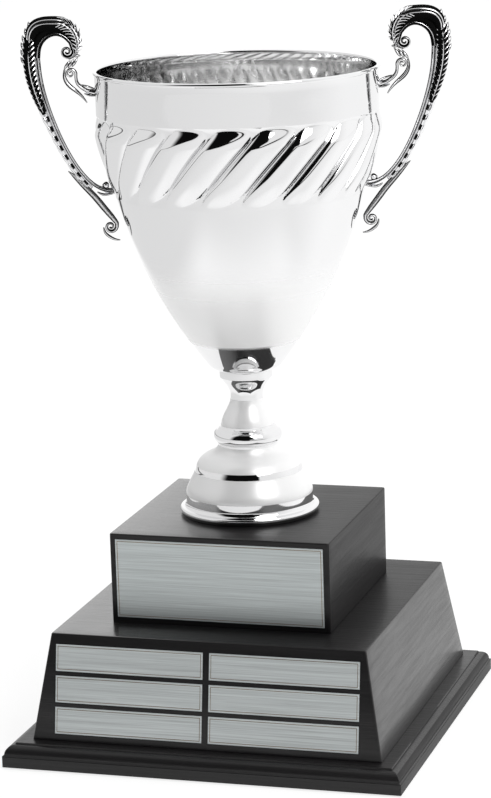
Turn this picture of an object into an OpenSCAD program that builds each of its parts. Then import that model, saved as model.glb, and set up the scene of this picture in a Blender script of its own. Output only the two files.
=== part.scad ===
// Cup trophy: a spun silver cup with two cast scroll handles on a black two-tier perpetual base.
// Millimetres, +Z up. The origin is the centre of the underside, and the base's front faces -Y.

/* [Base] */
// Side of the square bottom board
board_w = 305; // [295:1:330]
// Thickness of the bottom board
board_t = 17.4; // [16:0.1:22]
// Width of the lower tier at its foot
tier_foot_w = 268.4; // [256:0.1:280]
// Width of the lower tier at its deck
tier_deck_w = 241.6; // [225:0.1:250]
// Height of the lower tier
tier_h = 79.5; // [75:0.5:110]
// Side of the square upper block
block_w = 169.4; // [165:0.1:200]
// Height of the upper block
block_h = 68.6; // [64:0.1:90]
// Thickness of the wooden panels
panel_t = 12; // [9:0.5:15]
// Side of the glued corner blocks
corner_w = 22; // [18:1:30]
// Thickness of the felt under the board
felt_t = 1; // [0.8:0.1:3]

/* [Plates] */
// Width of the large plate
main_plate_w = 160.4; // [100:0.1:162]
// Height of the large plate
main_plate_h = 60; // [30:0.5:62]
// Width of each small plate
small_plate_w = 114; // [80:0.5:115]
// Height of each small plate
small_plate_h = 20; // [12:0.5:22]
// Distance between the centres of the two columns of small plates
column_pitch = 119; // [116:0.5:120]
// Distance between the centres of the rows of small plates, up the slope
row_pitch = 23.5; // [23:0.1:24]
// Distance of the middle row from the tier's foot, up the slope
middle_row = 39; // [37:0.5:43]
// Thickness of every plate
plate_t = 0.8; // [0.5:0.1:1.5]

/* [Cup] */
// Angle that the cup is turned on the base
cup_turn = 17; // [-45:1:45]
// Radius of the foot's flange
flange_r = 53; // [52:0.5:60]
// Radius of the foot's bell above the flange
bell_r = 48.2; // [47:0.1:50]
// Radius of the ringed knop
knop_r = 26; // [25:0.5:30]
// Radius of the collar that carries the bowl
collar_r = 20.2; // [19:0.1:22]
// Outside radius of the bowl at its mouth
mouth_r = 105.6; // [105:0.1:107]
// Height of the rim over the base
rim_z = 339.3; // [335:0.1:345]
// Wall of the spun metal
wall_t = 1.2; // [0.8:0.1:1.5]
// Radius of the rolled rim's bead
rim_bead_r = 1.6; // [1.3:0.1:2]

/* [Handles] */
// Depth of the casting where it has no width
handle_depth_min = 3; // [2:0.5:4]
// Depth that the casting gains with each millimetre of width
handle_depth_gain = 0.6; // [0.4:0.05:0.8]
// Radius of the handle screws' shanks
screw_r = 2; // [1.5:0.5:2.5]

/* [Hidden] */
$fn = 96;
BEAD_FN = 12;
FIT = 0.1;

z_board = felt_t;
z_tier = z_board + board_t;
z_deck = z_tier + tier_h;
z_top = z_deck + block_h;
slope = atan2((tier_foot_w - tier_deck_w) / 2, tier_h);

// The board's moulded edge, from its outer face inwards
edge_face_h = 9;
edge_step = 1.3;
ovolo_r = 6.8;
edge_in = edge_step + ovolo_r;

// Wood screws
wood_screw_r = 2;
wood_screw_head_r = 4;
board_screw_l = 38;
tier_screw_l = 32;

// Heights over the base's top of the turned pieces
pad_h = 2.5;
flange_z = 5;
bell_z = 15;
bell_crease_z = 33.5;
bell_top_z = 52.5;
knop_top_z = 68;
stem_top_z = 88;
collar_z = 104.8;
seat_top_z = 110.7;
knop_end_r = 22.5;
stem_foot_r = 20.1;
stem_waist_r = 12.4;

// The rod and its fastenings
rod_r = 4;
rod_hole_r = rod_r + 0.3;
washer_t = 1.6;
nut_h = 6.5;
nut_r = 7.5;
gasket_t = 1;
dome_h = 6;
bowl_washer_r = 12;
base_washer_r = 18;

// The bowl's outline over the base: [radius, height] control points
bowl_foot = [[collar_r, seat_top_z], [24.5, 110.8], [27.8, 114], [29.6, 116.8]];
bowl_side = [[29.6, 116.8], [81.7, 185], [93, 244], [104.8, 292]];

// Where the handles meet the bowl, and the tilt of the bowl's wall there
upper_lug_z = 323.6;
lower_lug_z = 250;
lower_lug_r = 94.3;
lower_lug_tilt = 15;

// Handle curves: [distance from the cup's axis, height over the base, width of the casting]
crest = [[120.5, 359.5, 13], [128.1, 384, 20], [153, 369.5, 20], [151.2, 347.5, 13.4]];
shoulder = [[151.2, 347.5, 13.4], [151.2, 323.5, 9.5], [141.5, 297.5, 8.8], [130.3, 276.3, 7.5]];
tail = [[130.3, 276.3, 7.5], [121.9, 260.4, 7.2], [107.2, 243, 6.5], [96.1, 228.8, 4]];
tail_curl = [[101.5, 219, 3], [98, 214.5, 3], [94, 212.5, 2.5], [90.6, 211.6, 2]];
inner_scroll = [[123.5, 334, 6], [119.5, 326, 6], [114, 322, 5], [110.9, 314.8, 2]];
upper_arm = [[118, 326.5, 5], [113, 323, 5.5], [108, 323.3, 6], [102, 323.6, 7.5]];
lower_arm = [[113, 251.5, 6], [106, 250.5, 7], [99, 250, 8.5], [91.8, 249.5, 9.5]];
volutes = [[124.8, 353.1, 10.4], [122.4, 344.6, 8.5], [122, 337.6, 9], [97.4, 222.2, 10.4]];

wood_black = [0.13, 0.13, 0.14];
wood_bare = [0.72, 0.55, 0.36];
plate_metal = [0.72, 0.74, 0.74];
silver = [0.86, 0.86, 0.88];
zinc = [0.62, 0.63, 0.66];

// Point on a cubic Bezier curve with control points c
function bezier(c, t) = pow(1 - t, 3) * c[0] + 3 * pow(1 - t, 2) * t * c[1]
  + 3 * (1 - t) * t * t * c[2] + pow(t, 3) * c[3];
function curve(c, n) = [for (i = [0 : n]) bezier(c, i / n)];
function tail_of(list) = [for (i = [1 : len(list) - 1]) list[i]];
function reversed(list) = [for (i = [len(list) - 1 : -1 : 0]) list[i]];
// The line one wall inside an outline that runs outwards and upwards
function inside(pts, t) = [for (i = [0 : len(pts) - 1])
  let (d = pts[min(i + 1, len(pts) - 1)] - pts[max(i - 1, 0)])
  pts[i] + t * [-d[1], d[0]] / norm(d)];

// Square frustum standing at z = 0
module frustum(foot_w, top_w, h) {
  side = [[-foot_w / 2, 0], [foot_w / 2, 0], [top_w / 2, h], [-top_w / 2, h]];
  intersection() {
    rotate([90, 0, 0]) linear_extrude(foot_w + 2, center = true) polygon(side);
    rotate([90, 0, 90]) linear_extrude(foot_w + 2, center = true) polygon(side);
  }
}

// The hollow inside the lower tier's panels, from its foot up to height h
module tier_hollow(h) {
  foot = tier_foot_w - 2 * panel_t / cos(slope);
  top = foot - 2 * h * tan(slope);
  frustum(foot, top, h);
}

// The quarter of the base that a mitred panel fills; side 0 is the front
module mitre(side, h) {
  w = board_w;
  rotate([0, 0, side * 90]) translate([0, 0, -1])
    linear_extrude(h + 2) polygon([[0, 0], [-w, -w], [w, -w]]);
}

module lower_panel(side) {
  color(wood_black) translate([0, 0, z_tier]) intersection() {
    difference() {
      frustum(tier_foot_w, tier_deck_w, tier_h);
      tier_hollow(tier_h);
    }
    mitre(side, tier_h);
  }
}

module lower_front_panel() lower_panel(0);
module lower_right_panel() lower_panel(1);
module lower_back_panel() lower_panel(2);
module lower_left_panel() lower_panel(3);

module upper_panel(side) {
  inner_w = block_w - 2 * panel_t;
  color(wood_black) translate([0, 0, z_deck]) intersection() {
    difference() {
      translate([-block_w / 2, -block_w / 2, 0]) cube([block_w, block_w, block_h]);
      translate([-inner_w / 2, -inner_w / 2, -1]) cube([inner_w, inner_w, block_h + 2]);
    }
    mitre(side, block_h);
  }
}

module upper_front_panel() upper_panel(0);
module upper_right_panel() upper_panel(1);
module upper_back_panel() upper_panel(2);
module upper_left_panel() upper_panel(3);

// Centres of the four screws that run into a tier's corner blocks
module at_corners(half) {
  for (x = [-half, half]) for (y = [-half, half]) translate([x, y, 0]) children();
}

tier_corner_at = tier_deck_w / 2 - panel_t - corner_w / 2 - 2;
block_corner_at = block_w / 2 - panel_t - corner_w / 2;

// A countersunk screw, head down, its head's face at z = 0
module wood_screw(l, gap = 0) {
  head_h = wood_screw_head_r - wood_screw_r;
  cylinder(h = head_h, r1 = wood_screw_head_r + gap, r2 = wood_screw_r + gap);
  cylinder(h = l + gap, r = wood_screw_r + gap);
}

module felt_pad() {
  w = board_w - 8;
  color([0.05, 0.06, 0.05]) translate([-w / 2, -w / 2, 0]) cube([w, w, felt_t]);
}

module bottom_board() {
  half = board_w / 2;
  ovolo = [for (a = [0 : 10 : 90])
    [half - edge_in + ovolo_r * cos(a), edge_face_h + 0.4 + ovolo_r * sin(a)]];
  right = concat([[half, 0], [half, edge_face_h]], ovolo, [[half - edge_in, board_t]]);
  outline = concat(right, reversed([for (p = right) [-p[0], p[1]]]));
  color(wood_black) translate([0, 0, z_board]) difference() {
    intersection() {
      rotate([90, 0, 0]) linear_extrude(board_w + 2, center = true) polygon(outline);
      rotate([90, 0, 90]) linear_extrude(board_w + 2, center = true) polygon(outline);
    }
    at_corners(tier_corner_at) wood_screw(board_screw_l, FIT);
  }
}

module board_screws() {
  color(zinc) translate([0, 0, z_board]) at_corners(tier_corner_at) wood_screw(board_screw_l);
}

module lower_corner_blocks() {
  h = tier_h - panel_t;
  reach = 30;
  color(wood_bare) difference() {
    translate([0, 0, z_tier]) intersection() {
      tier_hollow(h);
      at_corners(tier_corner_at + reach / 2)
        translate([-(corner_w + reach) / 2, -(corner_w + reach) / 2, 0])
          cube([corner_w + reach, corner_w + reach, h]);
    }
    translate([0, 0, z_board]) at_corners(tier_corner_at) wood_screw(board_screw_l, FIT);
  }
}

module lower_deck() {
  color(wood_black) difference() {
    translate([0, 0, z_tier]) intersection() {
      tier_hollow(tier_h);
      translate([-board_w / 2, -board_w / 2, tier_h - panel_t]) cube([board_w, board_w, panel_t]);
    }
    translate([0, 0, z_deck - panel_t]) at_corners(block_corner_at) wood_screw(tier_screw_l, FIT);
  }
}

module tier_screws() {
  color(zinc) translate([0, 0, z_deck - panel_t])
    at_corners(block_corner_at) wood_screw(tier_screw_l);
}

module upper_corner_blocks() {
  color(wood_bare) difference() {
    translate([0, 0, z_deck]) at_corners(block_corner_at)
      translate([-corner_w / 2, -corner_w / 2, 0]) cube([corner_w, corner_w, block_h - panel_t]);
    translate([0, 0, z_deck - panel_t]) at_corners(block_corner_at) wood_screw(tier_screw_l, FIT);
  }
}

module upper_top_panel() {
  inner_w = block_w - 2 * panel_t;
  color(wood_black) translate([0, 0, z_top - panel_t]) difference() {
    translate([-inner_w / 2, -inner_w / 2, 0]) cube([inner_w, inner_w, panel_t]);
    translate([0, 0, -1]) cylinder(h = panel_t + 2, r = rod_hole_r);
  }
}

module main_plate() {
  color(plate_metal)
    translate([-main_plate_w / 2, -block_w / 2 - plate_t, z_deck + (block_h - main_plate_h) / 2])
      cube([main_plate_w, plate_t, main_plate_h]);
}

// Small plates are numbered from the top row, left then right
module small_plate(number) {
  column = (number - 1) % 2;
  row = floor((number - 1) / 2);
  up = middle_row + (1 - row) * row_pitch;
  color(plate_metal) translate([0, -tier_foot_w / 2, z_tier]) rotate([-slope, 0, 0])
    translate([(column - 0.5) * column_pitch - small_plate_w / 2, -plate_t, up - small_plate_h / 2])
      cube([small_plate_w, plate_t, small_plate_h]);
}

module small_plate_1() small_plate(1);
module small_plate_2() small_plate(2);
module small_plate_3() small_plate(3);
module small_plate_4() small_plate(4);
module small_plate_5() small_plate(5);
module small_plate_6() small_plate(6);

// A piece that turns about the cup's axis, bored for the rod
module bored(top_z) {
  translate([0, 0, z_top]) difference() {
    rotate_extrude() children();
    translate([0, 0, -1]) cylinder(h = top_z + 2, r = rod_hole_r);
  }
}

module foot_pad() {
  color([0.04, 0.04, 0.04]) bored(pad_h) square([flange_r - 1.5, pad_h]);
}

module foot_bell() {
  lower = curve([[bell_r, bell_z], [48.6, 19.9], [45.5, 23], [41, bell_crease_z - 0.8]], 8);
  upper = curve([[40.8, bell_crease_z + 0.4], [36.5, 48.5], [25.5, 43.5], [knop_end_r, bell_top_z]], 10);
  outer = concat([[flange_r, pad_h], [flange_r, flange_z], [bell_r + 0.6, flange_z + 1.6],
    [bell_r, flange_z + 2.6]], lower, upper);
  inner = [for (p = reversed(outer)) [max(p[0] - wall_t, rod_hole_r), max(p[1] - wall_t, pad_h)]];
  roof = [[rod_hole_r, bell_top_z], [rod_hole_r, bell_top_z - 2 * wall_t],
    [knop_end_r - wall_t, bell_top_z - 2 * wall_t]];
  color(silver) translate([0, 0, z_top])
    rotate_extrude() polygon(concat(outer, roof, tail_of(inner)));
}

module knop_ring() {
  bead = curve([[knop_end_r, bell_top_z + 1.5], [knop_r + 1.2, bell_top_z + 3],
    [knop_r + 1.2, knop_top_z - 4.5], [knop_end_r, knop_top_z - 3]], 12);
  color(silver) bored(knop_top_z)
    polygon(concat([[0, bell_top_z], [knop_end_r, bell_top_z]], bead,
      [[stem_foot_r + 0.8, knop_top_z - 1.5], [stem_foot_r + 0.8, knop_top_z], [0, knop_top_z]]));
}

module stem() {
  side = curve([[stem_foot_r, knop_top_z], [18.6, 77], [13.2, 81], [stem_waist_r, stem_top_z]], 12);
  color(silver) bored(stem_top_z)
    polygon(concat([[0, knop_top_z]], side, [[0, stem_top_z]]));
}

module bowl_seat() {
  side = curve([[stem_waist_r, stem_top_z], [11.8, 97], [17, 99.5], [19.5, collar_z]], 12);
  color(silver) bored(seat_top_z)
    polygon(concat([[0, stem_top_z]], side,
      [[collar_r, collar_z], [collar_r, seat_top_z], [0, seat_top_z]]));
}

// The bowl's outer line, from the rod's hole out and up to the rim
bowl_outer = concat([[rod_hole_r, seat_top_z]], curve(bowl_foot, 6), tail_of(curve(bowl_side, 24)),
  [[mouth_r - 0.2, 308], [mouth_r, 326], [mouth_r, rim_z - rim_bead_r]]);

module bowl_section() {
  polygon(concat(bowl_outer, reversed(inside(bowl_outer, wall_t))));
  translate([mouth_r - wall_t / 2, rim_z - rim_bead_r]) circle(rim_bead_r);
}

// Puts children at the handles' four screws, pointing out of the bowl along +X from its outer face
module at_lug(upper) {
  if (upper) translate([mouth_r, 0, upper_lug_z]) children();
  else translate([lower_lug_r, 0, lower_lug_z]) rotate([0, lower_lug_tilt, 0]) children();
}

module at_handle_screws() {
  translate([0, 0, z_top]) rotate([0, 0, cup_turn])
    for (turn = [0, 180]) rotate([0, 0, turn]) {
      at_lug(true) children();
      at_lug(false) children();
    }
}

module cup_bowl() {
  color(silver) difference() {
    translate([0, 0, z_top]) rotate_extrude() bowl_section();
    at_handle_screws() rotate([0, 90, 0]) cylinder(h = 16, r = screw_r + 0.3, center = true);
  }
}

// One station of a handle's casting: a flattened ball
module station(p) {
  depth = handle_depth_min + handle_depth_gain * p[2];
  translate([p[0], 0, p[1]]) scale([p[2] / 2, depth / 2, p[2] / 2]) sphere(1, $fn = BEAD_FN);
}

module casting(c, n) {
  for (i = [0 : n - 1]) hull() {
    station(bezier(c, i / n));
    station(bezier(c, (i + 1) / n));
  }
}

module handle(turn) {
  screw_hole_l = 10;
  color(silver) translate([0, 0, z_top]) rotate([0, 0, turn]) difference() {
    union() {
      casting(crest, 9);
      casting(shoulder, 8);
      casting(tail, 6);
      casting(tail_curl, 3);
      casting(inner_scroll, 4);
      casting(upper_arm, 3);
      casting(lower_arm, 3);
      for (v = volutes) station(v);
    }
    rotate_extrude() polygon(concat([[0, seat_top_z]], bowl_outer, [[0, rim_z]]));
    for (upper = [true, false])
      at_lug(upper) rotate([0, 90, 0]) cylinder(h = 2 * screw_hole_l, r = screw_r, center = true, $fn = 24);
  }
}

module handle_left() handle(cup_turn + 180);
module handle_right() handle(cup_turn);

module handle_screws() {
  shank_l = 8.5;
  color(zinc) at_handle_screws() translate([-wall_t - washer_t / 2, 0, 0]) {
    rotate([0, 90, 0]) cylinder(h = shank_l, r = screw_r - 0.02);
    rotate([0, -90, 0]) cylinder(h = 1, r = 2 * screw_r);
    translate([-1, 0, 0]) rotate([0, -90, 0]) cylinder(h = 1.4, r1 = 2 * screw_r, r2 = 1.2 * screw_r);
  }
}

module handle_washers() {
  color(zinc) at_handle_screws() translate([-wall_t, 0, 0]) rotate([0, -90, 0]) difference() {
    cylinder(h = washer_t / 2, r = 2.25 * screw_r);
    translate([0, 0, -1]) cylinder(h = washer_t + 2, r = screw_r + 0.2);
  }
}

module ring(r, h, z) {
  translate([0, 0, z_top + z]) difference() {
    cylinder(h = h, r = r);
    translate([0, 0, -1]) cylinder(h = h + 2, r = rod_r + 0.2);
  }
}

bowl_floor_z = seat_top_z + wall_t;
rod_top_z = bowl_floor_z + gasket_t + washer_t + nut_h + 2;
rod_foot_z = -panel_t - washer_t - nut_h - 4;

module threaded_rod() {
  color(zinc) translate([0, 0, z_top + rod_foot_z]) cylinder(h = rod_top_z - rod_foot_z, r = rod_r);
}

module bowl_gasket() {
  color([0.1, 0.1, 0.1]) ring(bowl_washer_r, gasket_t, bowl_floor_z);
}

module bowl_washer() {
  color(zinc) ring(bowl_washer_r, washer_t, bowl_floor_z + gasket_t);
}

// A dome nut: a hexagon with a cap that closes over the rod's end
module bowl_nut() {
  z = bowl_floor_z + gasket_t + washer_t;
  color(zinc) translate([0, 0, z_top + z]) difference() {
    union() {
      cylinder(h = nut_h, r = nut_r, $fn = 6);
      translate([0, 0, nut_h]) cylinder(h = dome_h, r1 = nut_r * 0.86, r2 = nut_r * 0.4);
    }
    translate([0, 0, -1]) cylinder(h = nut_h + 3.2, r = rod_r + 0.02);
  }
}

module base_washer() {
  color(zinc) ring(base_washer_r, washer_t, -panel_t - washer_t);
}

module base_nut() {
  color(zinc) translate([0, 0, z_top - panel_t - washer_t - nut_h]) difference() {
    cylinder(h = nut_h, r = nut_r, $fn = 6);
    translate([0, 0, -1]) cylinder(h = nut_h + 2, r = rod_r + 0.02);
  }
}

felt_pad();
bottom_board();
board_screws();
lower_front_panel();
lower_right_panel();
lower_back_panel();
lower_left_panel();
lower_corner_blocks();
lower_deck();
tier_screws();
upper_front_panel();
upper_right_panel();
upper_back_panel();
upper_left_panel();
upper_corner_blocks();
upper_top_panel();
main_plate();
small_plate_1();
small_plate_2();
small_plate_3();
small_plate_4();
small_plate_5();
small_plate_6();
foot_pad();
foot_bell();
knop_ring();
stem();
bowl_seat();
cup_bowl();
handle_left();
handle_right();
handle_screws();
handle_washers();
threaded_rod();
bowl_gasket();
bowl_washer();
bowl_nut();
base_washer();
base_nut();
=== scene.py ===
"""Looks of the cup trophy: black wood, brushed plates, a fluted silver bowl and cast scroll handles."""
import math

import bpy
import numpy as np
from mathutils import Matrix, Vector


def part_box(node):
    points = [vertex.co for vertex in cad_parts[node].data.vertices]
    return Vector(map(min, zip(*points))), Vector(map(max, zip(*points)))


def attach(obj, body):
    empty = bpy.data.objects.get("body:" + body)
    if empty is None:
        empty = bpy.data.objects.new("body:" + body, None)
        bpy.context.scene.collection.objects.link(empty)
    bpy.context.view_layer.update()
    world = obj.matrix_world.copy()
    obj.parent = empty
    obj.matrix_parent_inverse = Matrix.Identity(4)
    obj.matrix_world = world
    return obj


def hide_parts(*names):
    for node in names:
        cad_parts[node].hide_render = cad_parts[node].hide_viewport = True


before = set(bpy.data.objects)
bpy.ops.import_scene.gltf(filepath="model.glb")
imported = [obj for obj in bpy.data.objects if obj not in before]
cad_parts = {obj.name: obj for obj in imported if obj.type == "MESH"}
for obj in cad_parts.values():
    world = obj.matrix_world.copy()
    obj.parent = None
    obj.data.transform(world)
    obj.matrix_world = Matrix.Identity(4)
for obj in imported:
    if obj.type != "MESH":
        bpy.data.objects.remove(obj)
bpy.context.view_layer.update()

# ---------------------------------------------------------------- sizes, in millimetres
MM = 0.001


def cad(node):
    """Lowest and highest corner of a CAD node, in millimetres."""
    low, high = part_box(node)
    return np.array(low) / MM, np.array(high) / MM


BOARD_LOW, BOARD_HIGH = cad("bottom_board")
DECK_Z = cad("lower_deck")[1][2]
TOP_Z = cad("upper_top_panel")[1][2]
TIER_LOW = cad("lower_front_panel")[0]
BLOCK_LOW, BLOCK_HIGH = cad("upper_front_panel")
TIER_FOOT_HALF = -TIER_LOW[1]
TIER_TOP_HALF = 120.8
BLOCK_HALF = -BLOCK_LOW[1]
PANEL_T = BLOCK_HIGH[1] - BLOCK_LOW[1]
CUP_TURN = math.radians(17)
WALL = 1.2

SILVER_SEGMENTS = 192


# ---------------------------------------------------------------- materials
class Shader:
    """A node material, or the world, being built; each method adds a node and returns its output."""

    def __init__(self, name, kind="materials", surface="Principled BSDF"):
        self.material = getattr(bpy.data, kind).new(name)
        self.material.use_nodes = True
        self.tree = self.material.node_tree
        self.surface = self.tree.nodes[surface]

    def node(self, kind, sockets=None, **settings):
        made = self.tree.nodes.new(kind)
        for key, value in settings.items():
            setattr(made, key, value)
        for key, value in (sockets or {}).items():
            self.feed(made.inputs[key], value)
        return made

    def feed(self, socket, value):
        if isinstance(value, bpy.types.NodeSocket):
            self.tree.links.new(value, socket)
        else:
            socket.default_value = value

    def set(self, **sockets):
        for key, value in sockets.items():
            self.feed(self.surface.inputs[key.replace("_", " ")], value)
        return self

    def place(self, scale=(1, 1, 1), turn=(0, 0, 0)):
        where = self.node("ShaderNodeTexCoord").outputs["Object"]
        return self.node("ShaderNodeMapping", {"Vector": where, "Scale": scale, "Rotation": turn}).outputs[0]

    def noise(self, vector, scale, detail=4.0, rough=0.55, distortion=0.0):
        sockets = {"Vector": vector, "Scale": scale, "Detail": detail, "Roughness": rough}
        return self.node("ShaderNodeTexNoise", sockets | {"Distortion": distortion}).outputs["Fac"]

    def ramp(self, value, stops):
        made = self.node("ShaderNodeValToRGB", {"Fac": value})
        ramp = made.color_ramp
        while len(ramp.elements) < len(stops):
            ramp.elements.new(1.0)
        for element, (at, colour) in zip(ramp.elements, stops):
            element.position = at
            element.color = (*colour, 1) if isinstance(colour, tuple) else (colour, colour, colour, 1)
        return made.outputs["Color"]

    def span(self, value, low, high):
        """A value from 0 to 1 spread from low to high."""
        return self.node("ShaderNodeMapRange", {"Value": value, "To Min": low, "To Max": high}).outputs[0]

    def along(self, vector, axis):
        """The vector's length along an axis."""
        made = self.node("ShaderNodeVectorMath", {"Vector": vector}, operation="DOT_PRODUCT")
        made.inputs[1].default_value = axis
        return made.outputs["Value"]

    def step(self, value, low, high):
        """A soft step from 0 at low to 1 at high."""
        sockets = {"Value": value, "From Min": low, "From Max": high}
        return self.node("ShaderNodeMapRange", sockets, interpolation_type="SMOOTHSTEP").outputs[0]

    def mix(self, share, a, b):
        made = self.node("ShaderNodeMix", data_type="FLOAT")
        for socket, value in zip(made.inputs[0:1] + made.inputs[2:4], (share, a, b)):
            self.feed(socket, value)
        return made.outputs[0]

    def maths(self, operation, a, b=0.0):
        made = self.node("ShaderNodeMath", operation=operation)
        self.feed(made.inputs[0], a)
        self.feed(made.inputs[1], b)
        return made.outputs[0]

    def bump(self, height, depth_m, strength=1.0, under=None):
        sockets = {"Height": height, "Distance": depth_m, "Strength": strength}
        made = self.node("ShaderNodeBump", sockets)
        if under is not None:
            self.tree.links.new(under, made.inputs["Normal"])
        return made.outputs["Normal"]


def black_wood(name, along, polish=(0.5, 0.2), worn=1.0, coat_ior=1.5, shine=0.2):
    """Black stained wood under satin lacquer, its grain running along axis 0 (X), 1 (Y) or 2 (Z).

    polish is the lacquer's weight between and in the pores; it falls to the share 'worn' towards +X.
    shine is the bare wood's own gloss."""
    stretch = [26.0, 26.0, 26.0]
    stretch[along] = 1.6
    fine = [420.0, 420.0, 420.0]
    fine[along] = 14.0
    s = Shader(name)
    broad = s.noise(s.place(stretch), 1.0, 6.0, 0.6, 0.6)
    pores = s.noise(s.place(fine), 1.0, 3.0, 0.65)
    pore_lines = s.ramp(pores, [(0.42, 0.0), (0.6, 1.0)])
    grain = s.maths("MULTIPLY_ADD", broad, 0.6)
    s.tree.links.new(pore_lines, grain.node.inputs[2])
    tones = (0.004, 0.004, 0.004), (0.009, 0.0085, 0.009), (0.018, 0.017, 0.0175)
    colour = s.ramp(broad, list(zip((0.3, 0.52, 0.75), tones)))
    s.set(Base_Color=colour, Roughness=s.span(pores, 0.36, 0.5), Normal=s.bump(grain, 0.00008, 0.7))
    right = s.step(s.along(s.place(), (1, 0, 0)), -0.09, 0.05)
    s.set(Coat_Weight=s.maths("MULTIPLY", s.span(pores, *polish), s.mix(right, 1.0, worn)), Coat_IOR=coat_ior)
    s.set(Coat_Roughness=s.span(pores, 0.12, 0.28), Specular_IOR_Level=shine)
    s.set(Coat_Normal=s.bump(grain, 0.00004, 0.35))
    return s.material


def bare_wood(name):
    """Unpainted softwood, its grain upright."""
    s = Shader(name)
    rings = s.noise(s.place((30, 30, 3)), 1.0, 5.0, 0.6, 1.0)
    colour = s.ramp(rings, [(0.3, (0.42, 0.27, 0.14)), (0.7, (0.66, 0.48, 0.29))])
    s.set(Base_Color=colour, Roughness=s.span(rings, 0.55, 0.75), Normal=s.bump(rings, 0.0002, 0.5))
    return s.material


def brushed_metal(name, colour, along=0, rough=(0.26, 0.42), metallic=1.0):
    """Metal brushed along one axis."""
    stretch = [900.0, 900.0, 900.0]
    stretch[along] = 9.0
    s = Shader(name)
    lines = s.noise(s.place(stretch), 1.0, 4.0, 0.7)
    cloud = s.noise(s.place(), 22.0, 3.0, 0.5)
    darker = tuple(c * 0.72 for c in colour)
    lighter = tuple(min(c * 1.25, 1) for c in colour)
    tint = s.ramp(lines, [(0.25, darker), (0.5, colour), (0.75, lighter)])
    wear = s.maths("ADD", s.maths("MULTIPLY", lines, 0.7), s.maths("MULTIPLY", cloud, 0.3))
    s.set(Base_Color=tint, Metallic=metallic, Normal=s.bump(lines, 0.00002, 0.35))
    s.set(Roughness=s.span(wear, *rough))
    return s.material


POLISHED = (0.02, 0.07)
SILVER_TINT = (0.86, 0.86, 0.865)


def silver(name, rough=POLISHED, tint=SILVER_TINT, metallic=1.0):
    """Bright silver plate: faint spinning lines round the axis and a few smudges."""
    s = Shader(name)
    rings = s.noise(s.place((6, 6, 900)), 1.0, 2.0, 0.5)
    smudge = s.noise(s.place(), 30.0, 5.0, 0.6)
    s.set(Base_Color=s.ramp(smudge, [(0.3, tuple(c * 0.985 for c in tint)), (0.7, tint)]), Metallic=metallic)
    s.set(Roughness=s.span(smudge, *rough), Normal=s.bump(rings, 0.000002, 0.15))
    return s.material


# The low part of the bowl is satin: it starts at the first height, is full up to the second
# and has gone at the third, in metres over the floor.
SATIN_LOW, SATIN_FADE, SATIN_HIGH = 0.2985, 0.325, 0.375
SATIN_START = 0.004
SATIN_TINT = (0.97, 0.97, 0.97)
SATIN_METALLIC = 0.2
SATIN_ROUGH = 0.34


def silver_bowl(name):
    """Bright silver plate that turns satin and partly diffuse over the low part of the bowl."""
    s = Shader(name)
    rings = s.noise(s.place((6, 6, 900)), 1.0, 2.0, 0.5)
    smudge = s.noise(s.place(), 30.0, 5.0, 0.6)
    height = s.along(s.place(), (0, 0, 1))
    over_start = s.step(height, SATIN_LOW, SATIN_LOW + SATIN_START)
    under_end = s.step(height, SATIN_HIGH, SATIN_FADE)
    satin = s.maths("MULTIPLY", over_start, under_end)
    colour = s.ramp(satin, [(0.0, SILVER_TINT), (1.0, SATIN_TINT)])
    s.set(Base_Color=colour, Metallic=s.mix(satin, 1.0, SATIN_METALLIC))
    s.set(Roughness=s.mix(satin, s.span(smudge, *POLISHED), SATIN_ROUGH))
    s.set(Normal=s.bump(rings, 0.000002, 0.15))
    return s.material


def cast_silver(name):
    """Silver plate over a casting, painted black where the mesh's own darkness value is high: partly oxide in
    the casting's recesses, mostly painted shade and painted dark reflections on its bars and curls.
    """
    s = Shader(name)
    hollow = s.node("ShaderNodeAttribute", attribute_name="hollow").outputs["Fac"]
    grit = s.noise(s.place(), 900.0, 4.0, 0.6)
    patchy = s.maths("ADD", hollow, s.maths("MULTIPLY", s.maths("SUBTRACT", grit, 0.5), 0.25))
    colour = s.ramp(patchy, [(0.35, (0.93, 0.93, 0.94)), (0.55, 0.12), (0.75, 0.006)])
    s.set(Base_Color=colour, Metallic=s.ramp(patchy, [(0.4, 1.0), (0.7, 0.0)]), Specular_IOR_Level=0.0)
    s.set(Roughness=s.ramp(patchy, [(0.3, 0.07), (0.7, 0.4)]), Normal=s.bump(grit, 0.00002, 0.2))
    return s.material


def moulded_black(name, colour, rough):
    """Fine-grained black plastic or rubber."""
    s = Shader(name)
    grit = s.noise(s.place(), 1500.0, 3.0, 0.6)
    s.set(Base_Color=s.ramp(grit, [(0.3, tuple(c * 0.8 for c in colour)), (0.7, colour)]))
    s.set(Roughness=s.span(grit, rough, rough + 0.12), Normal=s.bump(grit, 0.00002, 0.3))
    return s.material


def felt(name):
    """Short dark green-black felt."""
    s = Shader(name)
    fibres = s.noise(s.place(), 1400.0, 6.0, 0.75, 1.5)
    colour = s.ramp(fibres, [(0.3, (0.008, 0.012, 0.010)), (0.7, (0.03, 0.038, 0.034))])
    s.set(Base_Color=colour, Roughness=0.95, Normal=s.bump(fibres, 0.0004, 0.8))
    s.set(Sheen_Weight=0.5, Sheen_Roughness=0.4)
    return s.material


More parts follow.
